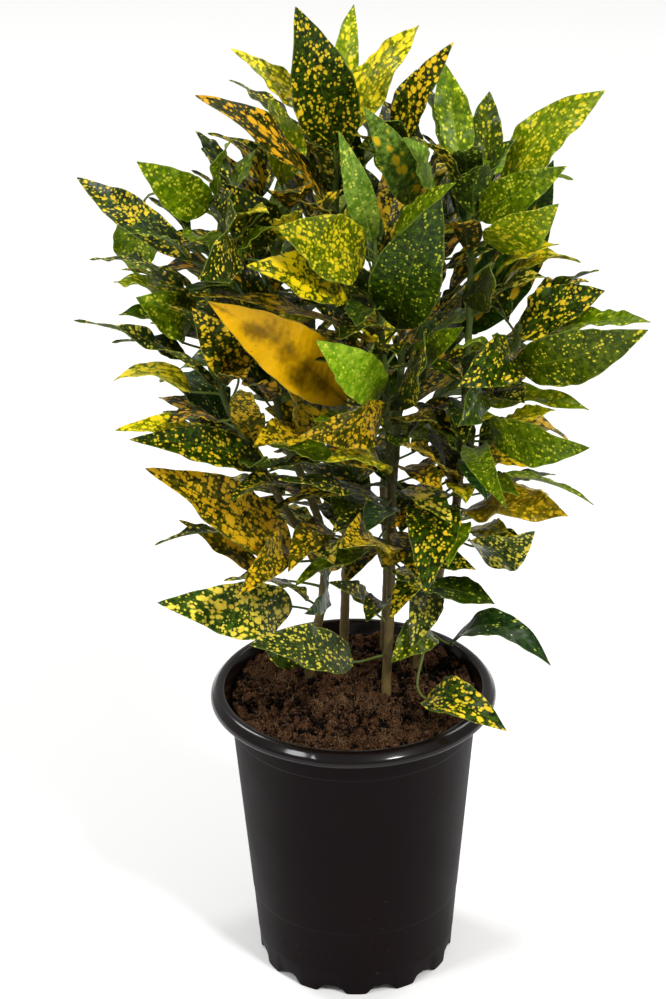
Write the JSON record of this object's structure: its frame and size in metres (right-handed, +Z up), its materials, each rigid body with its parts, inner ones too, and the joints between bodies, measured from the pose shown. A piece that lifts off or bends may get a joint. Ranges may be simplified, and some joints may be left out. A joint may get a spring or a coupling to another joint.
{
  "type": "potted croton",
  "caption": "Bushy croton with spotted, blotched leathery leaves on upright canes, standing in a filled black plastic nursery pot.",
  "frame": {"origin": "on the pot's axis, at the level of the feet that the pot stands on", "axes": "+Z up along the pot's axis, -Y towards the viewer of the picture, +X to that viewer's right"},
  "size_m": [0.3533, 0.2842, 0.6681],
  "materials": {
    "pot_plastic": "satin black moulded plastic",
    "peat": "rough damp peat with coarse fibres",
    "leaf": "glossy leathery leaves, green with yellow spots and blotches, on brown canes"
  },
  "bodies": {
    "root": {"pot": "pot_plastic", "peat": "peat", "leafy_stem_middle": "leaf", "leafy_stem_left": "leaf", "leafy_stem_right": "leaf", "leafy_stem_back_left": "leaf", "leafy_stem_back_right": "leaf"}
  },
  "joints": []
}
